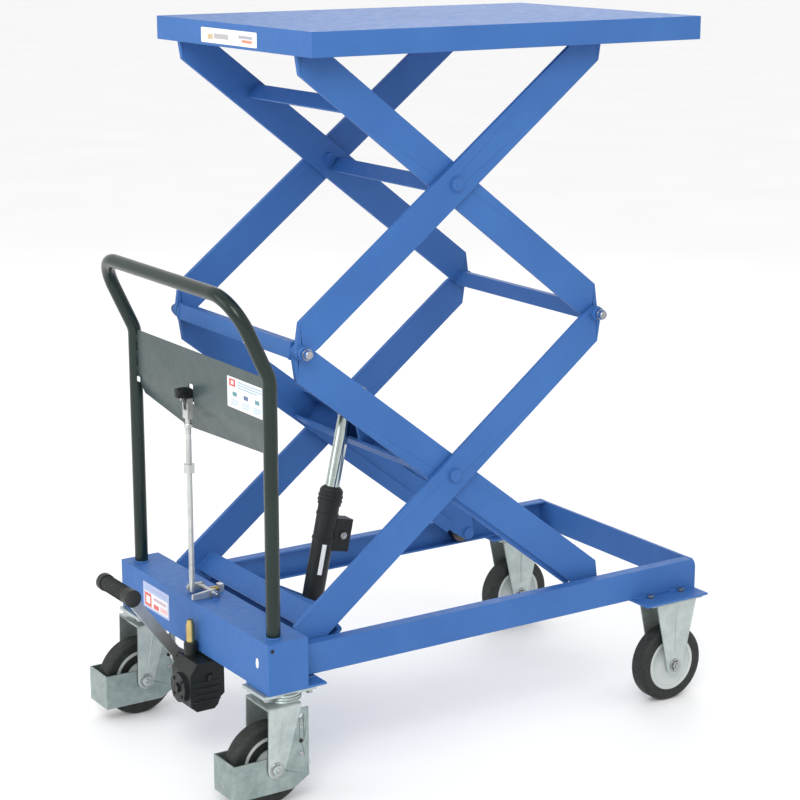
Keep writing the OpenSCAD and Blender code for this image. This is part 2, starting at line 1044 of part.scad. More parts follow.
place() side_rail_near();
place() side_rail_far();
place() rear_box();
place() front_plate();
place() base_pivot_pins();
place() swivel_top_plates();
place() fixed_forks();
place() fixed_axles();
place() caster_bolts();
place() handle_tube();
place() handle_panel();
place() pump_body();
place() swivel_fork_near();
place() swivel_fork_far();
place() wheel_guard_near();
place() wheel_guard_far();
place() swivel_tyre_near();
place() swivel_tyre_far();
place() swivel_hub_near();
place() swivel_hub_far();
place() fixed_tyre_near();
place() fixed_tyre_far();
place() fixed_hub_near();
place() fixed_hub_far();
place() lower_outer_arm_near();
place() lower_outer_arm_far();
place() lower_outer_beam();
place() cylinder_foot_pin();
place() lower_inner_arm_near();
place() lower_inner_arm_far();
place() lift_beam();
place() lift_pin();
place() lower_tie();
place() lower_inner_pins();
place() base_roller_near();
place() base_roller_far();
place() upper_outer_arm_near();
place() upper_outer_arm_far();
place() deck_roller_pins();
place() deck_roller_near();
place() deck_roller_far();
place() upper_inner_arm_near();
place() upper_inner_arm_far();
place() top_bar();
place() crossing_bar();
place() upper_tie();
place() upper_inner_pins();
place() deck_tray();
place() deck_guide_rails();
place() deck_brackets();
place() cylinder_barrel();
place() valve_block();
place() cylinder_rod();
place() pedal_lever();
place() pedal_grip();
place() pump_plunger();
place() release_lever();
place() release_rod();
place() release_crank();
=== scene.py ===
import json
import math

import bmesh
import bpy
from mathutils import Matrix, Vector


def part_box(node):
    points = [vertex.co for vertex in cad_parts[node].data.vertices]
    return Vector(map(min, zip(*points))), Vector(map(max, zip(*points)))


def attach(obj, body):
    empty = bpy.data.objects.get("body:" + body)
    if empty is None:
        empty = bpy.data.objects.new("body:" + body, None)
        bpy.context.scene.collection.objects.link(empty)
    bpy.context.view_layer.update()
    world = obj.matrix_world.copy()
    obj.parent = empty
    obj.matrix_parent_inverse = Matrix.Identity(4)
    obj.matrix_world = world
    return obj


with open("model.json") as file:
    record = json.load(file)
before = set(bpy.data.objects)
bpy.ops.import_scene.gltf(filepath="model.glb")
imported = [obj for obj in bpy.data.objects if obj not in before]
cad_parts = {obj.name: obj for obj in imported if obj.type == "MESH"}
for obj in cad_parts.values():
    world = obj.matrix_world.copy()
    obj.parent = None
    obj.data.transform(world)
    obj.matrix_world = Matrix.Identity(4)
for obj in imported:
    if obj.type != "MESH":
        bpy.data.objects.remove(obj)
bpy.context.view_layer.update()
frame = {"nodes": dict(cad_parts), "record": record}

MM = 0.001
SHARP_ANGLE = math.radians(38)     # edges turned by more than this stay sharp


# ---------- shader helpers ----------

class Shader:
    """A material under construction: a Principled shader and short calls that add nodes."""

    def __init__(self, name, **inputs):
        self.material = bpy.data.materials.new(name)
        self.material.use_nodes = True
        self.tree = self.material.node_tree
        self.principled = self.tree.nodes["Principled BSDF"]
        for key, value in inputs.items():
            self.principled.inputs[key.replace("_", " ")].default_value = value
        self.place = self.tree.nodes.new("ShaderNodeTexCoord").outputs["Object"]

    def node(self, kind, **settings):
        made = self.tree.nodes.new("ShaderNode" + kind)
        for key, value in settings.items():
            setattr(made, key, value)
        return made

    def link(self, output, socket):
        self.tree.links.new(output, socket)

    def noise(self, scale, detail=4.0, rough=0.5, stretch=(1, 1, 1)):
        """Noise over the object; scale is in patches per metre."""
        mapping = self.node("Mapping")
        mapping.inputs["Scale"].default_value = [scale * s for s in stretch]
        self.link(self.place, mapping.inputs["Vector"])
        made = self.node("TexNoise")
        made.inputs["Scale"].default_value = 1.0
        made.inputs["Detail"].default_value = detail
        made.inputs["Roughness"].default_value = rough
        self.link(mapping.outputs["Vector"], made.inputs["Vector"])
        return made.outputs["Fac"]

    def ramp(self, value, low, high, start, end):
        """Maps value from [low, high] to [start, end], clamped."""
        made = self.node("MapRange")
        self.link(value, made.inputs["Value"])
        for key, number in (("From Min", low), ("From Max", high),
                            ("To Min", start), ("To Max", end)):
            made.inputs[key].default_value = number
        return made.outputs["Result"]

    def mix(self, factor, a, b):
        made = self.node("Mix", data_type="RGBA")
        self.link(factor, made.inputs["Factor"])
        for value, index in ((a, 6), (b, 7)):
            if isinstance(value, tuple):
                made.inputs[index].default_value = (*value, 1)
            else:
                self.link(value, made.inputs[index])
        return made.outputs[2]

    def edges(self, radius=0.002):
        """About 1 on outer edges and 0 on flats: where a bevelled normal leaves the true one."""
        bevel = self.node("Bevel", samples=4)
        bevel.inputs["Radius"].default_value = radius
        true = self.node("NewGeometry").outputs["Normal"]
        dot = self.node("VectorMath", operation="DOT_PRODUCT")
        self.link(bevel.outputs["Normal"], dot.inputs[0])
        self.link(true, dot.inputs[1])
        return self.ramp(dot.outputs["Value"], 0.99, 0.8, 0.0, 1.0)

    def bump(self, height, strength, distance):
        made = self.node("Bump")
        made.inputs["Strength"].default_value = strength
        made.inputs["Distance"].default_value = distance
        self.link(height, made.inputs["Height"])
        self.link(made.outputs["Normal"], self.principled.inputs["Normal"])

    def out(self, socket, value):
        self.link(value, self.principled.inputs[socket])


# ---------- materials ----------

def paint(name, shade, lit, rough=0.36, coat=0.25, wear=(0.2, 0.26, 0.34), grime=0.5, shine=0.5):
    """Powder coat: two close tones in clouds, orange peel, and paler worn edges."""
    s = Shader(name, Roughness=rough, Coat_Weight=coat, Coat_Roughness=0.22,
               Specular_IOR_Level=shine)
    cloud = s.ramp(s.noise(5, 3), 0.3, 0.7, 0, 1)
    body = s.mix(cloud, shade, lit)
    dust = s.ramp(s.noise(26, 6, 0.65), 0.52, 0.78, 0, 0.16 * grime)
    body = s.mix(dust, body, tuple(min(1.6 * c + 0.03, 0.8) for c in lit))
    chips = s.ramp(s.noise(160, 3), 0.42, 0.66, 0.1, 0.75)
    edge = s.node("Math", operation="MULTIPLY")
    s.link(s.edges(0.0016), edge.inputs[0])
    s.link(chips, edge.inputs[1])
    s.out("Base Color", s.mix(edge.outputs["Value"], body, wear))
    s.out("Roughness", s.ramp(s.noise(60, 4), 0.3, 0.7, rough - 0.05, rough + 0.09))
    s.bump(s.noise(900, 2), 0.12, 0.0004)
    return s.material


def metal(name, dark, light, rough=(0.25, 0.42), grain=(1, 1, 1), scale=40, metallic=1.0):
    """Plated or turned metal with fine grain and faint blotches."""
    s = Shader(name, Metallic=metallic)
    blotch = s.ramp(s.noise(scale, 5, 0.6), 0.3, 0.7, 0, 1)
    s.out("Base Color", s.mix(blotch, dark, light))
    fine = s.noise(scale * 14, 3, stretch=grain)
    s.out("Roughness", s.ramp(fine, 0.3, 0.7, *rough))
    s.bump(fine, 0.08, 0.0003)
    return s.material


def rubber(name, dark, light, rough=0.62):
    """Moulded rubber: matt, a little dusty, with a fine pebbled skin."""
    s = Shader(name, Roughness=rough)
    dust = s.ramp(s.noise(45, 6, 0.7), 0.45, 0.8, 0, 1)
    s.out("Base Color", s.mix(dust, dark, light))
    s.out("Roughness", s.ramp(s.noise(120, 3), 0.3, 0.7, rough - 0.08, rough + 0.15))
    s.bump(s.noise(1400, 2), 0.25, 0.0005)
    return s.material


BLUE_SHADE = (0.031, 0.116, 0.350)
BLUE_LIT = (0.041, 0.142, 0.400)
MATERIALS = {
    "blue_paint": paint("blue_paint", BLUE_SHADE, BLUE_LIT, 0.52, 0.0, (0.08, 0.17, 0.38), 0.4,
                        0.3),
    "dark_paint": paint("dark_paint", (0.005, 0.015, 0.012), (0.009, 0.022, 0.018), 0.2, 0.1,
                        (0.03, 0.05, 0.045), 0.3, 0.3),
    "black_paint": paint("black_paint", (0.004, 0.006, 0.006), (0.009, 0.012, 0.012), 0.42, 0.0,
                         (0.04, 0.045, 0.05), 0.5, 0.35),
    "wheel_grey": paint("wheel_grey", (0.42, 0.46, 0.45), (0.52, 0.56, 0.55), 0.38, 0.2,
                        (0.66, 0.68, 0.67), 0.3),
    "zinc_plate": metal("zinc_plate", (0.38, 0.44, 0.43), (0.52, 0.58, 0.565), (0.3, 0.5),
                        metallic=0.75),
    "pin_steel": metal("pin_steel", (0.30, 0.31, 0.32), (0.44, 0.45, 0.46), (0.25, 0.4)),
    "link_steel": metal("link_steel", (0.48, 0.50, 0.49), (0.62, 0.63, 0.62), (0.28, 0.42),
                        metallic=0.85),
    "rod_chrome": metal("rod_chrome", (0.40, 0.46, 0.44), (0.52, 0.58, 0.56), (0.08, 0.16)),
    "yellow_zinc": metal("yellow_zinc", (0.42, 0.29, 0.10), (0.62, 0.50, 0.22), (0.25, 0.4)),
    "tyre_rubber": rubber("tyre_rubber", (0.008, 0.010, 0.009), (0.020, 0.023, 0.021)),
    "grip_rubber": rubber("grip_rubber", (0.010, 0.013, 0.012), (0.024, 0.028, 0.026), 0.5),
}


# ---------- places ----------

DECK_OVERHANG = 6     # how far the deck's handle end lies beyond the working datum, in mm
DATUM_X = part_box("deck_tray")[0].x + DECK_OVERHANG * MM

# Centres that several pieces share, in mm: x from the working datum, y from the middle, z from
# the floor. A pair in brackets is (x, z).
SWIVEL_X, SWIVEL_Y, SWIVEL_AXLE_X = -64, 250, -98
FIXED_X, FIXED_Y = 800, 252
AXLE_Z = 75
POST_X, POST_Y = -80, 252
BOX_TOP = 300
BASE_PIVOT = (-15.1, 244)
LEFT_MID, RIGHT_MID = (1, 782.5), (629, 782.5)
LOWER_CROSSING, UPPER_CROSSING = (315, 520), (315, 1045)
ARM_TILT = 39.895     # slope of the arms at rest, in degrees
PUMP_X, PUMP_Y, PUMP_Z = -157.9, -40, 156
PLUNGER_X, PLUNGER_Y = -121, -23
GRIP_X, GRIP_Z = -215, 318
LEVER_X, LEVER_Z = -66, 660
CRANK_X, CRANK_Z = -66, 309
PULL_ROD_X, PULL_ROD_Y = -88, 30


def at(x, y, z):
    """Point in the row frame from millimetres measured along X from the working datum."""
    return Vector((DATUM_X + x * MM, y * MM, z * MM))


# ---------- mesh helpers ----------

def finish_piece(name, bm, material, body, bevel=0.0):
    """Turns a bmesh into a piece that rides on a body, with an optional rounded edge."""
    bmesh.ops.remove_doubles(bm, verts=bm.verts, dist=1e-6)
    bmesh.ops.recalc_face_normals(bm, faces=bm.faces)
    mesh = bpy.data.meshes.new(name)
    bm.to_mesh(mesh)
    bm.free()
    obj = bpy.data.objects.new(name, mesh)
    bpy.context.scene.collection.objects.link(obj)
    mesh.materials.append(MATERIALS[material] if isinstance(material, str) else material)
    mesh.shade_smooth()
    mesh.set_sharp_from_angle(angle=SHARP_ANGLE)
    if bevel:
        made = obj.modifiers.new("round", "BEVEL")
        made.width = bevel * MM
        made.segments = 2
        made.limit_method = "ANGLE"
        made.angle_limit = SHARP_ANGLE
        obj.modifiers.new("shade", "WEIGHTED_NORMAL")
    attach(obj, body)


def turn_to(direction):
    return Vector((0, 0, 1)).rotation_difference(Vector(direction).normalized()).to_matrix()


def add_lathe(bm, centre, direction, profile, steps=40):
    """Closed ring of (radius, height) points in mm turned about direction through centre."""
    spin = turn_to(direction)
    rings = []
    for radius, height in profile:
        if radius <= 1e-6:
            rings.append([bm.verts.new(centre + spin @ Vector((0, 0, height * MM)))])
            continue
        rings.append([bm.verts.new(centre + spin @ Vector((
            radius * MM * math.cos(2 * math.pi * i / steps),
            radius * MM * math.sin(2 * math.pi * i / steps), height * MM)))
            for i in range(steps)])
    for a, b in zip(rings, rings[1:] + rings[:1]):
        if len(a) == 1 and len(b) == 1:
            continue
        for i in range(steps):
            j = (i + 1) % steps
            corners = [a[i % len(a)], a[j % len(a)], b[j % len(b)], b[i % len(b)]]
            corners = [v for k, v in enumerate(corners) if v not in corners[:k]]
            bm.faces.new(corners)


def add_prism(bm, origin, u, v, outline, depth):
    """Outline of (u, v) points in mm, extruded by depth mm along u x v."""
    u, v = Vector(u).normalized(), Vector(v).normalized()
    w = u.cross(v)
    low = [bm.verts.new(origin + (u * a + v * b) * MM) for a, b in outline]
    high = [bm.verts.new(p.co + w * depth * MM) for p in low]
    count = len(outline)
    bm.faces.new(low[::-1])
    bm.faces.new(high)
    for i in range(count):
        j = (i + 1) % count
        bm.faces.new([low[i], low[j], high[j], high[i]])


def rounded(width, height, radius, steps=5, centre=(0, 0)):
    """Outline of a rounded rectangle round centre."""
    points = []
    for k, (sx, sy) in enumerate(((1, 1), (-1, 1), (-1, -1), (1, -1))):
        for i in range(steps + 1):
            a = math.radians(90 * k + 90 * i / steps)
            points.append((centre[0] + sx * (width / 2 - radius) + radius * math.cos(a),
                           centre[1] + sy * (height / 2 - radius) + radius * math.sin(a)))
    return points


def circle(radius, steps):
    return [(radius * math.cos(2 * math.pi * i / steps),
             radius * math.sin(2 * math.pi * i / steps)) for i in range(steps)]


def add_tube(bm, points, radii, steps=12, closed=False):
    """Tube through points with a radius in mm at each, its ends capped."""
    count = len(points)
    frames = []
    side = None
    for i in range(count):
        if closed:
            ahead = (points[(i + 1) % count] - points[i - 1]).normalized()
        else:
            ahead = (points[min(i + 1, count - 1)] - points[max(i - 1, 0)]).normalized()
        if side is None:
            side = ahead.orthogonal().normalized()
        side = (side - ahead * side.dot(ahead)).normalized()
        frames.append((side, ahead.cross(side)))
    rings = [[bm.verts.new(p + (a * math.cos(2 * math.pi * k / steps)
                                + b * math.sin(2 * math.pi * k / steps)) * r * MM)
              for k in range(steps)]
             for p, r, (a, b) in zip(points, radii, frames)]
    pairs = list(zip(rings, rings[1:] + rings[:1] if closed else rings[1:]))
    for a, b in pairs:
        for k in range(steps):
            m = (k + 1) % steps
            bm.faces.new([a[k], a[m], b[m], b[k]])
    if not closed:
        bm.faces.new(rings[0][::-1])
        bm.faces.new(rings[-1])


def weld_radii(count, radius, phase=0.0):
    """Overlapping ripples of a hand weld."""
    return [radius * (0.86 + 0.14 * abs(math.sin(i * 0.9 + phase))) for i in range(count)]


def add_weld(bm, a, b, radius=2.6):
    """Weld bead in a straight line from a to b."""
    length = (b - a).length
    count = max(6, int(length / (2.2 * MM)))
    points = [a.lerp(b, i / (count - 1)) for i in range(count)]
    radii = weld_radii(count, radius, length * 900)
    radii[0] = radii[-1] = radius * 0.45
    add_tube(bm, points, radii, 8)


def add_ring_weld(bm, centre, direction, ring, radius=2.4):
    spin = turn_to(direction)
    count = max(24, int(2 * math.pi * ring / 2.4))
    points = [centre + spin @ Vector((ring * MM * math.cos(2 * math.pi * i / count),
                                      ring * MM * math.sin(2 * math.pi * i / count), 0))
              for i in range(count)]
    add_tube(bm, points, weld_radii(count, radius), 8, closed=True)


# ---------- CAD nodes: finish and softened edges ----------

SLOT_OF = {s["node"]: s["material_slot"] for s in frame["record"]["subparts"]}
SOFT_EDGE = {
    "deck_tray": 1.5, "rear_box": 1.6, "side_rail_near": 1.4, "side_rail_far": 1.4,
    "front_plate": 1.2, "handle_tube": 0.0, "pump_body": 3.0, "pedal_grip": 1.6,
    "valve_block": 2.2, "cylinder_barrel": 1.2, "caster_bolts": 0.7, "fixed_forks": 0.0,
    "swivel_fork_near": 0.0, "swivel_fork_far": 0.0,
}

# Nodes whose colour differs from the other parts of their slot: the wheel guards and base
# rollers a little in finish; the handle panel's lighter copy of the dark paint is painted light.
OWN_FINISH_AND_PAINTED_LIGHT = {
    # painted light: the panel gets a lighter tone than the dark paint, for the light its flat face
    # catches
    "handle_panel": paint("panel_paint_painted_light", (0.042, 0.064, 0.066), (0.056, 0.082, 0.084), 0.34, 0.1,
                          (0.08, 0.11, 0.11), 0.6, 0.4),
    "wheel_guard_near": metal("guard_zinc", (0.22, 0.28, 0.27), (0.36, 0.42, 0.41), (0.28, 0.48),
                              metallic=0.8),
    "base_roller_near": metal("greased_steel", (0.06, 0.05, 0.045), (0.14, 0.12, 0.11)),
}
OWN_FINISH_AND_PAINTED_LIGHT["wheel_guard_far"] = OWN_FINISH_AND_PAINTED_LIGHT["wheel_guard_near"]
OWN_FINISH_AND_PAINTED_LIGHT["base_roller_far"] = OWN_FINISH_AND_PAINTED_LIGHT["base_roller_near"]


def dress_cad_nodes():
    """Gives every CAD node its finish, and a softened edge unless its width in SOFT_EDGE is 0."""
    for name, obj in frame["nodes"].items():
        obj.data.materials.clear()
        obj.data.materials.append(OWN_FINISH_AND_PAINTED_LIGHT.get(name, MATERIALS[SLOT_OF[name]]))
        weld = obj.modifiers.new("weld", "WELD")
        weld.merge_threshold = 0.01 * MM
        width = SOFT_EDGE.get(name, 0.8)
        if width:
            made = obj.modifiers.new("round", "BEVEL")
            made.width = width * MM
            made.segments = 2
            made.limit_method = "ANGLE"
            made.angle_limit = SHARP_ANGLE
        shade = obj.modifiers.new("shade", "WEIGHTED_NORMAL")
        shade.keep_sharp = False


dress_cad_nodes()


# ---------- small parts ----------

def add_disc(bm, centre, direction, radius, height, chamfer=0.5, steps=28):
    add_lathe(bm, centre, direction, [
        (0, 0), (radius, 0), (radius, height - chamfer), (radius - chamfer, height),
        (0, height)], steps)


def add_collar(bm, centre, direction, inner, outer, height, chamfer=0.3, steps=32):
    add_lathe(bm, centre, direction, [
        (inner, 0), (outer, 0), (outer, height - chamfer), (outer - chamfer, height),
        (inner, height)], steps)


def add_hex(bm, centre, direction, across, height, bore=0.0):
    """Hexagon head with a turned top; bore leaves a dimple in its middle."""
    spin = turn_to(direction)
    corner = across / math.sqrt(3)
    add_prism(bm, centre, spin @ Vector((1, 0, 0)), spin @ Vector((0, 1, 0)), circle(corner, 6),
              height * 0.82)
    top = centre + Vector(direction).normalized() * height * 0.8 * MM
    profile = [(0, 0), (across / 2 - 0.2, 0), (across / 2 - 0.9, height * 0.2)]
    if bore:
        profile += [(bore, height * 0.2), (bore * 0.6, height * 0.08)]
    add_lathe(bm, top, direction, profile + [(0, profile[-1][1])], 24)


def add_split_pin(bm, centre, along, radius=1.1, spread=4.5):
    """Split pin across a rod: an eye on one side and two bent legs on the other."""
    along = Vector(along).normalized()
    side = along.cross(Vector((0, 1, 0)))
    if side.length < 0.1:
        side = along.cross(Vector((1, 0, 0)))
    side.normalize()
    eye = [centre + (along * (-spread - 2.2 * math.cos(a)) + side * 2.2 * math.sin(a)) * MM
           for a in [math.radians(i * 30) for i in range(12)]]
    add_tube(bm, eye, [radius] * 12, 8, closed=True)
    for sign in (-1, 1):
        points = [centre + (along * t + side * sign * (0.6 + max(0.0, t - spread) * 0.9)) * MM
                  for t in (-spread, 0, spread, spread + 2, spread + 4.5)]
        add_tube(bm, points, [radius * 0.7] * 5, 8)


NEAR_FAR = (("near", -1), ("far", 1))


# ---------- scissor ----------

def scissor_fittings():
    """Washers, circlips and turned pin ends on the outside of the arms."""
    for suffix, side in NEAR_FAR:
        out = Vector((0, side, 0))
        for body, (x, z) in (("lower_inner", LEFT_MID), ("upper_inner", RIGHT_MID)):
            bm = bmesh.new()
            add_collar(bm, at(x, side * 223.4, z), out, 8.1, 14, 2.4)
            add_collar(bm, at(x, side * 226.4, z), out, 8.1, 12.5, 7, 1.2)
            finish_piece(f"mid_washer_{body}_{suffix}", bm, "blue_paint", body)
            bm = bmesh.new()
            add_disc(bm, at(x, side * 245.9, z), out, 7.2, 1.4, 1.2)
            add_collar(bm, at(x, side * 239.5, z), out, 7.9, 10.2, 1.4)
            finish_piece(f"mid_circlip_{body}_{suffix}", bm, "pin_steel", body)
        for body, (x, z) in (("lower_inner", LOWER_CROSSING), ("upper_inner", UPPER_CROSSING)):
            bm = bmesh.new()
            add_lathe(bm, at(x, side * 227.9, z), out,
                      [(0, 0), (11.2, 0), (10.4, 1.0), (7, 1.5), (6.2, 0.9), (0, 0.8)], 36)
            add_collar(bm, at(x, side * 223.35, z), out, 11.9, 14.5, 1.2)
            finish_piece(f"crossing_head_{body}_{suffix}", bm, "blue_paint", body)


def square_welds(bm, corners, y):
    """Beads along the sides of a section whose corners are (x, z) in the plane y."""
    for (xa, za), (xb, zb) in zip(corners, corners[1:] + corners[:1]):
        add_weld(bm, at(xa, y, za), at(xb, y, zb), 2.3)


def turned_point(centre, angle, u, v):
    """(x, z) of a point u along and v across a direction turned by angle degrees."""
    a = math.radians(angle)
    return (centre[0] + u * math.cos(a) - v * math.sin(a),
            centre[1] + u * math.sin(a) + v * math.cos(a))


def arm_welds():
    """Beads where the ties and channels meet the arms: (u, v) corners round a pivot."""
    sections = [
        ("lower_tie", "lower_inner", LEFT_MID, -10, (-14, -14, 14, 14), 203),
        ("upper_tie", "upper_inner", RIGHT_MID, -10, (-14, -14, 14, 14), 203),
        ("lower_beam", "lower_outer", BASE_PIVOT, ARM_TILT, (47, -39, 91, 5), 214),
        ("lift_beam", "lower_inner", LOWER_CROSSING, -ARM_TILT, (-100, 20, -54, 25), 203),
    ]
    for name, body, centre, angle, (u0, v0, u1, v1), reach in sections:
        bm = bmesh.new()
        corners = [turned_point(centre, angle, u, v)
                   for u, v in ((u0, v0), (u1, v0), (u1, v1), (u0, v1))]
        for side in (-1, 1):
            square_welds(bm, corners, side * (reach - 0.6))
        finish_piece(f"weld_{name}", bm, "blue_paint", body)


def ear_welds():
    """Beads between the cylinder's ears and the beam that holds them."""
    bm = bmesh.new()
    for side in (-1, 1):
        for y in (26, 34):
            a = turned_point(BASE_PIVOT, ARM_TILT, 91, 1)
            b = turned_point(BASE_PIVOT, ARM_TILT, 91, -37)
            add_weld(bm, at(a[0], side * y, a[1]), at(b[0], side * y, b[1]), 2.2)
    finish_piece("weld_cylinder_ears", bm, "blue_paint", "lower_outer")


scissor_fittings()
arm_welds()
ear_welds()


# ---------- base ----------

def base_welds():
    """Beads round the posts, along the rails and plates, and behind the panel."""
    bm = bmesh.new()
    for side in (-1, 1):
        add_ring_weld(bm, at(POST_X, side * POST_Y, BOX_TOP + 0.6), (0, 0, 1), 13.2, 2.2)
        add_weld(bm, at(-28, side * 250, 218), at(-28, side * 250, 271), 2.6)
        add_weld(bm, at(-28, side * 250, 272), at(-28, side * 227, 272), 2.4)
        add_weld(bm, at(863.6, side * 228, 271), at(863.6, side * 249, 271), 2.2)
        add_weld(bm, at(716, side * 250.4, 216.6), at(760, side * 250.4, 216.6), 2.2)
        add_weld(bm, at(806, side * 250.4, 216.6), at(862, side * 250.4, 216.6), 2.2)
        add_weld(bm, at(-27, side * 250.4, 211.6), at(6, side * 250.4, 211.6), 2.2)
        add_weld(bm, at(-107.6, side * 208, 211), at(-107.6, side * 280, 211), 2.0)
    finish_piece("weld_base", bm, "blue_paint", "base")
    bm = bmesh.new()
    for side in (-1, 1):
        for z in (676, 706, 736):
            add_weld(bm, at(-81.4, side * 239.6, z - 6), at(-81.4, side * 239.6, z + 6), 2.2)
    finish_piece("weld_panel", bm, "dark_paint", "base")


def box_marks():
    """Oval sticker and side plugs of the rear box; stub, stop and lug beads of the release gear."""
    box_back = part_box("rear_box")[0].x
    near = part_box("rear_box")[0].y
    bm = bmesh.new()
    oval = [(5.0 * u, 9.5 * v) for u, v in circle(1, 28)]
    add_prism(bm, Vector((box_back - 0.3 * MM, -245 * MM, 257 * MM)), (0, -1, 0), (0, 0, 1),
              oval, 0.4)
    finish_piece("oval_sticker", bm, WHITE_SHEET, "base")
    bm = bmesh.new()
    add_disc(bm, Vector((box_back + 8 * MM, near - 0.1 * MM, 288 * MM)), (0, -1, 0), 3.4, 1.2)
    add_disc(bm, Vector((box_back + 8 * MM, -near + 0.1 * MM, 288 * MM)), (0, 1, 0), 3.4, 1.2)
    finish_piece("box_side_plugs", bm, "black_paint", "base")
    bm = bmesh.new()
    add_lathe(bm, at(-62, 14, BOX_TOP + 6.5), (1, 0, 0),
              [(0, 0), (4.2, 0), (5, 1), (5, 16), (3.6, 17), (3.6, 22), (0, 22)], 24)
    finish_piece("release_stub", bm, "yellow_zinc", "base")
    bm = bmesh.new()
    add_prism(bm, at(-44, 8, BOX_TOP - 0.2), (1, 0, 0), (0, 0, 1),
              rounded(10, 15, 1.5, centre=(5, 7.5)), -13)
    finish_piece("release_stop", bm, "link_steel", "base", 0.6)
    bm = bmesh.new()
    for y in (-24, 44):
        add_weld(bm, at(-72, y - 0.5, BOX_TOP + 0.5), at(-60, y - 0.5, BOX_TOP + 0.5), 1.8)
        add_weld(bm, at(-72, y + 4.5, BOX_TOP + 0.5), at(-60, y + 4.5, BOX_TOP + 0.5), 1.8)
    finish_piece("weld_crank_lugs", bm, "blue_paint", "base")


def painted_fold_highlight():
    """Pale sheet where the panel's fold meets the far post: a painted highlight, the glint of the
    fold catching the light.
    """
    bm = bmesh.new()
    add_prism(bm, at(-83.2, 238, 655), (0, -1, 0), (0, 0, 1),
              rounded(11, 10, 2, centre=(5.5, 5)), 1.6)
    finish_piece("painted_fold_highlight", bm, WHITE_SHEET, "base", 0.3)


def plain_white():
    s = Shader("white_sheet", Roughness=0.4)
    s.out("Base Color", s.mix(s.ramp(s.noise(200, 3), 0.4, 0.7, 0, 1), (0.80, 0.81, 0.80),
                              (0.70, 0.72, 0.72)))
    return s.material


WHITE_SHEET = plain_white()
base_welds()
box_marks()
painted_fold_highlight()


# ---------- casters ----------

def wheel_trim(name, x, y, body):
    """Dished cover, bearing cap and moulded rings on both faces of a wheel."""
    tyre_low, tyre_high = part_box(f"{name}_tyre_{'near' if y < 0 else 'far'}")
    half = (tyre_high.y - tyre_low.y) / 2 / MM
    radius = (tyre_high.z - tyre_low.z) / 2 / MM
    suffix = "near" if y < 0 else "far"
    centre = at(x, y, radius)
    count = 72
    tread_count = 90
    bm = bmesh.new()
    for side in (-1, 1):
        out = Vector((0, side, 0))
        face = centre + out * (half - 9) * MM
        add_lathe(bm, face, out, [
            (16, 0), (48, 1.5), (50.5, 5.2), (49.5, 6.6), (46, 6.2), (41, 3.6), (30, 2.6),
            (22, 4.6), (17, 7.5), (16, 7.5)], 56)
    finish_piece(f"{name}_wheel_cover_{suffix}", bm, "wheel_grey", body)
    if name == "swivel":
        # thick solid tyres: the rubber comes in over most of the wheel's face
        bm = bmesh.new()
        for side in (-1, 1):
            out = Vector((0, side, 0))
            add_lathe(bm, centre + out * (half - 5.2) * MM, out, [
                (29, 0), (54, 0), (54, 3.0), (50, 3.6), (36, 3.2), (30.5, 2.2), (29, 1)], 56)
        finish_piece(f"swivel_tyre_face_{suffix}", bm, "tyre_rubber", body)
    bm = bmesh.new()
    for side in (-1, 1):
        out = Vector((0, side, 0))
        for ring, lift, size in ((radius - 8.5, half - 2.6, 0.9), (56.5, half - 2.4, 1.2)):
            points = [centre + out * lift * MM
                      + Vector((math.cos(2 * math.pi * i / count), 0,
                                math.sin(2 * math.pi * i / count))) * ring * MM
                      for i in range(count)]
            add_tube(bm, points, [size] * count, 6, closed=True)
    for lift in (-7, 0, 7):
        points = [centre + Vector((
            math.cos(2 * math.pi * i / tread_count) * (radius - 0.5) * MM, lift * MM,
            math.sin(2 * math.pi * i / tread_count) * (radius - 0.5) * MM))
            for i in range(tread_count)]
        add_tube(bm, points, [0.8] * tread_count, 6, closed=True)
    finish_piece(f"{name}_tyre_rings_{suffix}", bm, "tyre_rubber", body)


def axle_ends(name, x, y, body, reach):
    """Washers and turned ends on both sides of an axle; reach is the outside of the fork's leg."""
    suffix = "near" if y < 0 else "far"
    bm = bmesh.new()
    for side in (-1, 1):
        out = Vector((0, side, 0))
        add_collar(bm, at(x, y + side * (reach - 0.05), AXLE_Z), out, 9.8, 13.5, 2.0)
        add_disc(bm, at(x, y + side * (reach + 5.9), AXLE_Z), out, 5, 2.6, 0.8)
    finish_piece(f"{name}_axle_washers_{suffix}", bm, "pin_steel", body)


def fork_details(name, x, dx, y, body, top_z, rib, reach):
    """Pressed ribs on the legs; dx is how far the axle lies from the fork's middle."""
    suffix = "near" if y < 0 else "far"
    bm = bmesh.new()
    for side in (-1, 1):
        start = at(x + dx * 0.53, y + side * (reach - 0.3), top_z - 16)
        end = at(x + dx * 0.87, y + side * (reach - 0.3), 100)
        add_tube(bm, [start.lerp(end, t) for t in (0, 0.08, 0.5, 0.92, 1)],
                 [1.0, rib * 0.9, rib, rib * 0.8, 1.0], 10)
    finish_piece(f"{name}_fork_ribs_{suffix}", bm, "zinc_plate", body)


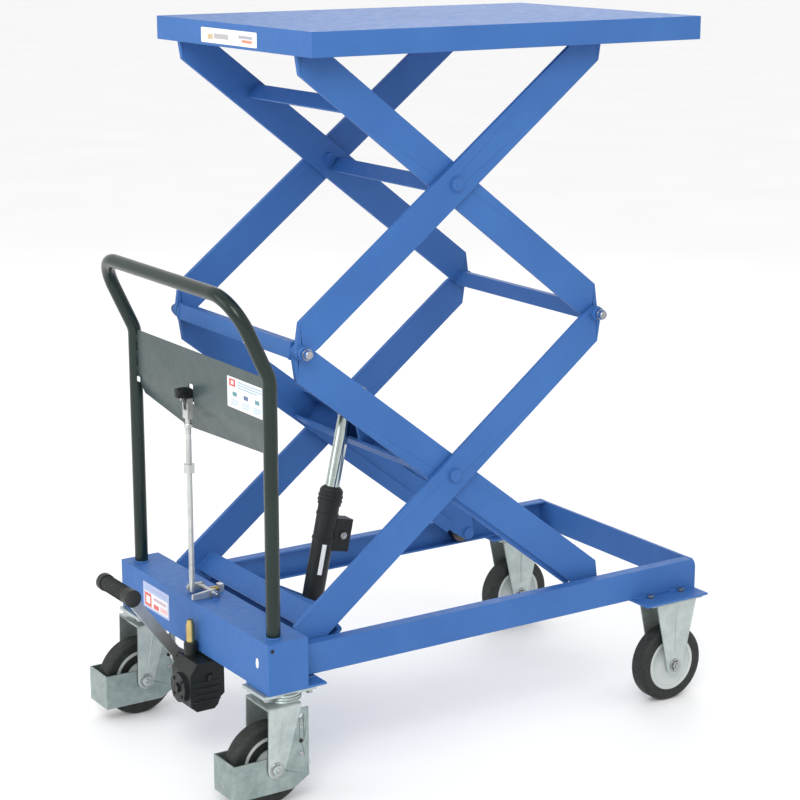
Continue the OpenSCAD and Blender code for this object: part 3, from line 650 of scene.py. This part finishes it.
def swivel_details():
    for suffix, side in NEAR_FAR:
        y = side * SWIVEL_Y
        body = f"swivel_{suffix}"
        bm = bmesh.new()
        for z, radius in ((200.6, 33.6), (195, 33.0), (189.8, 32.6)):
            count = 60
            points = [at(SWIVEL_X + radius * math.cos(2 * math.pi * i / count),
                         y + radius * math.sin(2 * math.pi * i / count), z) for i in range(count)]
            add_tube(bm, points, [1.7] * count, 8, closed=True)
        finish_piece(f"swivel_race_{suffix}", bm, "zinc_plate", "base")
        bm = bmesh.new()
        # brake tab behind the guard, and the plate it turns on
        add_prism(bm, at(-34, y - 3, 56), (1, 0, 0), (0, 0, 1),
                  [(0, 0), (22, -4), (25, -2), (24, 3), (0, 8)], -10)
        add_prism(bm, at(-40, y - 36, 58), (1, 0, 0), (0, 0, 1),
                  [(0, 0), (8, -1), (8, 7), (0, 9)], -72)
        finish_piece(f"brake_tab_{suffix}", bm, "link_steel", body, 0.7)
        bm = bmesh.new()
        for sign in (-1, 1):
            add_disc(bm, at(SWIVEL_AXLE_X + 51, y + sign * 36.4, 92), (0, sign, 0), 4.2, 1.8)
            add_disc(bm, at(SWIVEL_AXLE_X + 51, y + sign * 36.4, 140), (0, sign, 0), 3.6, 1.6)
        finish_piece(f"guard_rivets_{suffix}", bm, "pin_steel", body)
        wheel_trim("swivel", SWIVEL_AXLE_X, y, f"swivel_wheel_{suffix}")
        axle_ends("swivel", SWIVEL_AXLE_X, y, body, 40.5)
        fork_details("swivel", SWIVEL_X, SWIVEL_AXLE_X - SWIVEL_X, y, body, 183, 2.2, 40.5)
        bm = bmesh.new()
        for sign in (-1, 1):
            add_collar(bm, at(SWIVEL_AXLE_X, y + sign * 24.3, AXLE_Z), (0, sign, 0),
                       6.2, 11, 9, 0.8)
        finish_piece(f"axle_spacers_{suffix}", bm, "pin_steel", body)


def fixed_details():
    for suffix, side in NEAR_FAR:
        y = side * FIXED_Y
        wheel_trim("fixed", FIXED_X, y, f"fixed_wheel_{suffix}")
        axle_ends("fixed", FIXED_X, y, "base", 28.5)
        fork_details("fixed", FIXED_X, 0, y, "base", 202, 2.4, 28.5)


swivel_details()
fixed_details()


# ---------- cylinder ----------

FOOT = (143.07, 234.98)     # the cylinder's foot pin
TILT = math.radians(12.216)


def on_cylinder(x, y, z):
    """Point from the cylinder's own frame: Z along the rod, origin on the foot pin."""
    return at(FOOT[0] + x * math.cos(TILT) + z * math.sin(TILT), y,
              FOOT[1] - x * math.sin(TILT) + z * math.cos(TILT))


def cylinder_details():
    along = Vector((math.sin(TILT), 0, math.cos(TILT)))
    across = Vector((math.cos(TILT), 0, -math.sin(TILT)))
    bm = bmesh.new()
    add_collar(bm, on_cylinder(0, 0, 208), along, 21.9, 23.4, 4, 0.8, 48)
    add_collar(bm, on_cylinder(0, 0, 216), along, 21.9, 23.4, 4, 0.8, 48)
    add_collar(bm, on_cylinder(0, 0, 14), along, 19.9, 22, 8, 1.5, 48)
    add_collar(bm, on_cylinder(0, 0, 134), along, 19.9, 21.4, 5, 0.8, 48)
    add_collar(bm, on_cylinder(0, 0, 181), along, 19.9, 21.4, 5, 0.8, 48)
    finish_piece("barrel_bands", bm, "black_paint", "cylinder")
    bm = bmesh.new()
    add_collar(bm, on_cylinder(0, 0, 228.9), along, 13.2, 20, 4.5, 1.6, 48)
    add_collar(bm, on_cylinder(0, 0, 233.2), along, 13.15, 16.2, 3, 1.2, 48)
    finish_piece("gland_wiper", bm, "grip_rubber", "cylinder")
    bm = bmesh.new()
    add_hex(bm, on_cylinder(49.8, 0, 160), across, 16, 6, 4)
    add_hex(bm, on_cylinder(49.8, 0, 134), across, 12, 5, 3)
    add_hex(bm, on_cylinder(32, 14.8, 147), (0, 1, 0), 13, 6, 3)
    add_hex(bm, on_cylinder(32, -14.8, 147), (0, -1, 0), 13, 6, 3)
    finish_piece("valve_plugs", bm, "pin_steel", "cylinder", 0.2)
    bm = bmesh.new()
    add_collar(bm, on_cylinder(0, 0, 394.2), along, 12.9, 16.5, 2.2, 1.6, 40)
    finish_piece("rod_shoulder", bm, "rod_chrome", "rod")
    # pale strip up the barrel: a thin curved sheet on its handle side
    bm = bmesh.new()
    rows = []
    columns = 10
    last = columns - 1
    for z in (70, 128):
        row = []
        for radius in (20.15, 20.5):
            row.append([bm.verts.new(on_cylinder(radius * math.cos(a), radius * math.sin(a), z))
                        for a in [math.radians(240 + 2.6 * i) for i in range(columns)]])
        rows.append(row)
    (inner_low, outer_low), (inner_high, outer_high) = rows
    for i in range(last):
        bm.faces.new([outer_low[i], outer_low[i + 1], outer_high[i + 1], outer_high[i]])
        bm.faces.new([inner_low[i + 1], inner_low[i], inner_high[i], inner_high[i + 1]])
        bm.faces.new([inner_low[i], inner_low[i + 1], outer_low[i + 1], outer_low[i]])
        bm.faces.new([outer_high[i], outer_high[i + 1], inner_high[i + 1], inner_high[i]])
    bm.faces.new([inner_low[0], outer_low[0], outer_high[0], inner_high[0]])
    bm.faces.new([outer_low[last], inner_low[last], inner_high[last], outer_high[last]])
    finish_piece("barrel_strip", bm, WHITE_SHEET, "cylinder")


cylinder_details()


# ---------- foot pump and pedal ----------

def pump_details():
    bm = bmesh.new()
    for angle in range(45, 360, 90):
        a = math.radians(angle)
        add_disc(bm, at(PUMP_X, PUMP_Y + 20 * math.cos(a), PUMP_Z + 20 * math.sin(a)),
                 (-1, 0, 0), 3.2, 2.6)
    add_hex(bm, at(PUMP_X, PUMP_Y, PUMP_Z), (-1, 0, 0), 17, 5, 4)
    add_hex(bm, at(-110, -75, 176), (0, -1, 0), 14, 5, 4)
    add_hex(bm, at(-118, PUMP_Y, 116.1), (0, 0, -1), 15, 5, 4)
    finish_piece("pump_screws", bm, "black_paint", "base")
    bm = bmesh.new()
    for z in (134, 146, 158, 170):
        for y in (PUMP_Y - 35, PUMP_Y + 35):
            add_tube(bm, [at(x, y, z) for x in (-144, -140, -95, -90)], [0.8, 2.0, 2.0, 0.8], 8)
    finish_piece("pump_ribs", bm, "black_paint", "base")
    bm = bmesh.new()
    add_collar(bm, at(PLUNGER_X, PLUNGER_Y, 227.8), (0, 0, 1), 8.6, 11.5, 3.2, 1.2)
    finish_piece("plunger_wiper", bm, "grip_rubber", "base")
    bm = bmesh.new()
    add_disc(bm, at(-120, 37.9, 188), (0, 1, 0), 6, 2.2, 1.0)
    add_collar(bm, at(-120, 34.3, 188), (0, 1, 0), 10.1, 12.8, 1.6)
    finish_piece("pedal_pin_end", bm, "pin_steel", "base")


def grip_details():
    bm = bmesh.new()
    for i in range(17):
        y = 40 + i * 4.6
        count = 30
        points = [at(GRIP_X + 14 * math.cos(2 * math.pi * k / count), y,
                     GRIP_Z + 14 * math.sin(2 * math.pi * k / count)) for k in range(count)]
        add_tube(bm, points, [0.9] * count, 6, closed=True)
    for y, out in ((131.8, 1), (12.2, -1)):
        add_lathe(bm, at(GRIP_X, y, GRIP_Z), (0, out, 0),
                  [(0, 0), (14.8, 0), (13.4, 2.2), (9, 3.4), (0, 3.8)], 36)
    finish_piece("pedal_grip_ribs", bm, "grip_rubber", "pedal")


pump_details()
grip_details()


# ---------- release gear ----------

def release_details():
    bm = bmesh.new()
    add_lathe(bm, at(-111.4, PULL_ROD_Y, 676.5), (1, 0, 0),
              [(0, 0), (5, 0), (8.6, 2), (9.6, 6), (9.6, 18), (8, 22), (0, 22)], 32)
    finish_piece("lever_knob", bm, "black_paint", "lever")
    bm = bmesh.new()
    for side in (-1, 1):
        add_hex(bm, at(LEVER_X, PULL_ROD_Y + side * 17, LEVER_Z), (0, side, 0), 10, 4, 2)
    finish_piece("lever_pivot_nuts", bm, "pin_steel", "lever")
    bm = bmesh.new()
    for low, high in ((545, 590), (600, 626), (330, 350)):
        z = low
        while z < high:
            add_collar(bm, at(PULL_ROD_X, PULL_ROD_Y, z), (0, 0, 1), 4.7, 5.5, 1.0, 0.5, 20)
            z += 2.0
    add_hex(bm, at(PULL_ROD_X, PULL_ROD_Y, 612), (0, 0, 1), 15, 7)
    add_split_pin(bm, at(PULL_ROD_X, 43.5, LEVER_Z), (1, 0, 0))
    add_split_pin(bm, at(PULL_ROD_X, 40.4, CRANK_Z), (0, 0, 1), 0.9, 4)
    finish_piece("pull_rod_thread", bm, "link_steel", "pull_rod")
    bm = bmesh.new()
    for side, y in ((-1, -24.9), (1, 48.9)):
        add_disc(bm, at(CRANK_X, y, CRANK_Z), (0, side, 0), 3.4, 1.6, 0.8)
        add_collar(bm, at(CRANK_X, y - side * 0.6, CRANK_Z), (0, side, 0), 3.9, 6.4, 1.0)
    finish_piece("crank_washers", bm, "pin_steel", "crank")


release_details()


# ---------- deck ----------

def deck_seams():
    """Ground seams at the deck's corners and beads of the parts welded under it."""
    low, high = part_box("deck_tray")
    inset = 3.4 * MM
    bm = bmesh.new()
    for x in (low.x, high.x):
        for y in (low.y, high.y):
            inward_x = inset if x == low.x else -inset
            inward_y = inset if y == low.y else -inset
            add_weld(bm, Vector((x + inward_x, y + inward_y, low.z + 1 * MM)),
                     Vector((x + inward_x, y + inward_y, high.z - 5 * MM)), 2.4)
    bracket_low, bracket_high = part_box("deck_brackets")
    for side in (-1, 1):
        for y in (bracket_high.y, bracket_high.y - 6 * MM):
            add_weld(bm, Vector((bracket_low.x, side * y, bracket_high.z - 0.4 * MM)),
                     Vector((bracket_high.x, side * y, bracket_high.z - 0.4 * MM)), 2.2)
    guide_low, guide_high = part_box("deck_guide_rails")
    for side in (-1, 1):
        for i in range(6):
            x = guide_low.x + (12 + 44 * i) * MM
            add_weld(bm, Vector((x, side * guide_high.y, guide_high.z - 0.6 * MM)),
                     Vector((x + 18 * MM, side * guide_high.y, guide_high.z - 0.6 * MM)), 2.2)
    finish_piece("weld_deck", bm, "blue_paint", "deck")


deck_seams()


# ---------- labels ----------

def label_material(name, ground, blocks, across, up, size):
    """A printed sheet with plain blocks and no lettering. blocks are
    (u0, u1, v0, v1, colour) in fractions of the sheet; size is (width, height) in metres."""
    s = Shader(name, Roughness=0.32, Coat_Weight=0.4, Coat_Roughness=0.15)
    fractions = []
    for direction, extent, origin in ((across[0], size[0], across[1]), (up[0], size[1], up[1])):
        dot = s.node("VectorMath", operation="DOT_PRODUCT")
        s.link(s.place, dot.inputs[0])
        dot.inputs[1].default_value = direction
        fractions.append(s.ramp(dot.outputs["Value"], origin, origin + extent, 0, 1))
    colour = s.mix(s.ramp(s.noise(300, 3), 0.4, 0.7, 0, 0.25), ground,
                   tuple(0.85 * c for c in ground))
    for u0, u1, v0, v1, paint_colour in blocks:
        inside = None
        for value, low, high in ((fractions[0], u0, u1), (fractions[1], v0, v1)):
            for limit, operation in ((low, "GREATER_THAN"), (high, "LESS_THAN")):
                test = s.node("Math", operation=operation)
                s.link(value, test.inputs[0])
                test.inputs[1].default_value = limit
                if inside is None:
                    inside = test.outputs["Value"]
                    continue
                both = s.node("Math", operation="MULTIPLY")
                s.link(inside, both.inputs[0])
                s.link(test.outputs["Value"], both.inputs[1])
                inside = both.outputs["Value"]
        colour = s.mix(inside, colour, paint_colour)
    s.out("Base Color", colour)
    s.bump(s.noise(260, 3), 0.05, 0.0003)
    return s.material


def label(name, low, across, up, size, ground, blocks, body, radius=2.0):
    """Thin sheet lying on a face: low is its corner, across and up its sides, size in mm."""
    across, up = Vector(across).normalized(), Vector(up).normalized()
    material = label_material(name, ground, blocks, (across, across.dot(low)),
                              (up, up.dot(low)), (size[0] * MM, size[1] * MM))
    bm = bmesh.new()
    outline = rounded(size[0], size[1], radius, centre=(size[0] / 2, size[1] / 2))
    add_prism(bm, low, across, up, outline, 0.35)
    finish_piece(name, bm, material, body)


WHITE = (0.82, 0.83, 0.82)
RED = (0.62, 0.06, 0.04)
NAVY = (0.05, 0.11, 0.24)
TEAL = (0.06, 0.24, 0.28)


def text_bars(u0, u1, v0, v1, lines, colour):
    """Rows of plain bars that stand where small print would be."""
    rows = []
    pitch = (v1 - v0) / lines
    for i in range(lines):
        low = v1 - (i + 0.75) * pitch
        end = u1 - (0.18 * (u1 - u0) if i % 3 == 2 else 0)
        rows.append((u0, end, low, low + 0.45 * pitch, colour))
    return rows


def deck_label():
    """On the handle end of the deck's skirt."""
    deck_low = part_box("deck_tray")[0]
    low = Vector((deck_low.x - 0.3 * MM, 102 * MM, deck_low.z + 5 * MM))
    blocks = [(0.12, 0.22, 0.25, 0.60, (0.55, 0.42, 0.26)),
              (0.24, 0.50, 0.32, 0.66, (0.42, 0.40, 0.40)),
              (0.68, 0.92, 0.50, 0.70, (0.36, 0.36, 0.44)),
              (0.74, 0.92, 0.24, 0.44, (0.62, 0.26, 0.16))]
    label("deck_label", low, (0, -1, 0), (0, 0, 1), (198, 26), WHITE, blocks, "deck")


def panel_label():
    """On the handle panel, towards its far end."""
    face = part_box("handle_panel")[0].x - 0.3 * MM
    low = Vector((face, -108 * MM, 679 * MM))
    light = (0.70, 0.80, 0.90)
    blocks = [(0.04, 0.96, 0.05, 0.95, light), (0.05, 0.22, 0.70, 0.94, RED),
              (0.10, 0.17, 0.76, 0.88, WHITE)]
    blocks += text_bars(0.28, 0.92, 0.68, 0.94, 3, (0.32, 0.40, 0.50))
    for u, colour in ((0.10, TEAL), (0.40, NAVY), (0.70, TEAL)):
        blocks += [(u, u + 0.20, 0.36, 0.60, WHITE), (u + 0.04, u + 0.16, 0.40, 0.54, colour)]
        blocks += text_bars(u, u + 0.20, 0.10, 0.30, 3, (0.34, 0.42, 0.52))
    label("panel_label", low, (0, -1, 0), (0, 0, 1), (130, 54), WHITE, blocks, "base")


def box_label():
    """On the rear box, towards its far end."""
    low_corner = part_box("rear_box")[0]
    low = Vector((low_corner.x - 0.3 * MM, 190 * MM, 234 * MM))
    pink = (0.72, 0.42, 0.44)
    blocks = [(0.05, 0.94, 0.08, 0.66, (0.72, 0.72, 0.76)), (0.06, 0.32, 0.10, 0.62, RED),
              (0.12, 0.26, 0.22, 0.50, WHITE), (0.40, 0.60, 0.12, 0.30, RED),
              (0.66, 0.92, 0.14, 0.34, pink), (0.40, 0.88, 0.44, 0.56, (0.50, 0.36, 0.42)),
              (0.10, 0.90, 0.76, 0.88, (0.30, 0.36, 0.58))]
    label("box_label", low, (0, -1, 0), (0, 0, 1), (106, 50), (0.34, 0.42, 0.66), blocks, "base")


deck_label()
panel_label()
box_label()


# ---------- camera, floor and light ----------

def camera():
    """The fitted camera: its place, turn and lens come from one fit and belong together."""
    data = bpy.data.cameras.new("camera")
    data.sensor_width = 36
    data.lens = 93.94
    data.clip_end = 200
    obj = bpy.data.objects.new("camera", data)
    bpy.context.scene.collection.objects.link(obj)
    yaw, pitch = 0.579, 0.239
    obj.location = at(-1743.1, -3191.3, 1539.1)
    obj.rotation_euler = (math.pi / 2 - pitch, 0, -yaw)
    bpy.context.scene.camera = obj


FLOOR_RADIUS = 70     # metres


def floor():
    bm = bmesh.new()
    bmesh.ops.create_circle(bm, cap_ends=True, radius=FLOOR_RADIUS, segments=96)
    mesh = bpy.data.meshes.new("floor")
    bm.to_mesh(mesh)
    bm.free()
    obj = bpy.data.objects.new("floor", mesh)
    bpy.context.scene.collection.objects.link(obj)
    s = Shader("floor", Roughness=0.9)
    s.out("Base Color", s.mix(s.ramp(s.noise(1.5, 2), 0.3, 0.7, 0, 1),
                              (0.92, 0.92, 0.92), (0.94, 0.94, 0.94)))
    mesh.materials.append(s.material)


def area_light(name, place, target, size, power, colour=(1, 1, 1)):
    data = bpy.data.lights.new(name, "AREA")
    data.shape = "SQUARE"
    data.size = size
    data.energy = power
    data.color = colour
    obj = bpy.data.objects.new(name, data)
    obj.location = place
    obj.rotation_euler = (Vector(target) - Vector(place)).to_track_quat("-Z", "Y").to_euler()
    bpy.context.scene.collection.objects.link(obj)


def studio():
    world = bpy.data.worlds.new("studio")
    bpy.context.scene.world = world
    world.use_nodes = True
    ground = world.node_tree.nodes["Background"]
    ground.inputs["Color"].default_value = (1.0, 1.0, 1.0, 1)
    ground.inputs["Strength"].default_value = 1.0
    middle = (0, 0, 0.7)
    area_light("key", (-2.6, -3.2, 3.6), middle, 2.2, 95)
    area_light("side", (-3.4, 0.6, 1.6), middle, 2.0, 25)
    area_light("rim", (2.4, 2.8, 3.0), middle, 2.2, 30)


bpy.context.scene.view_settings.view_transform = "Standard"
camera()
floor()
studio()
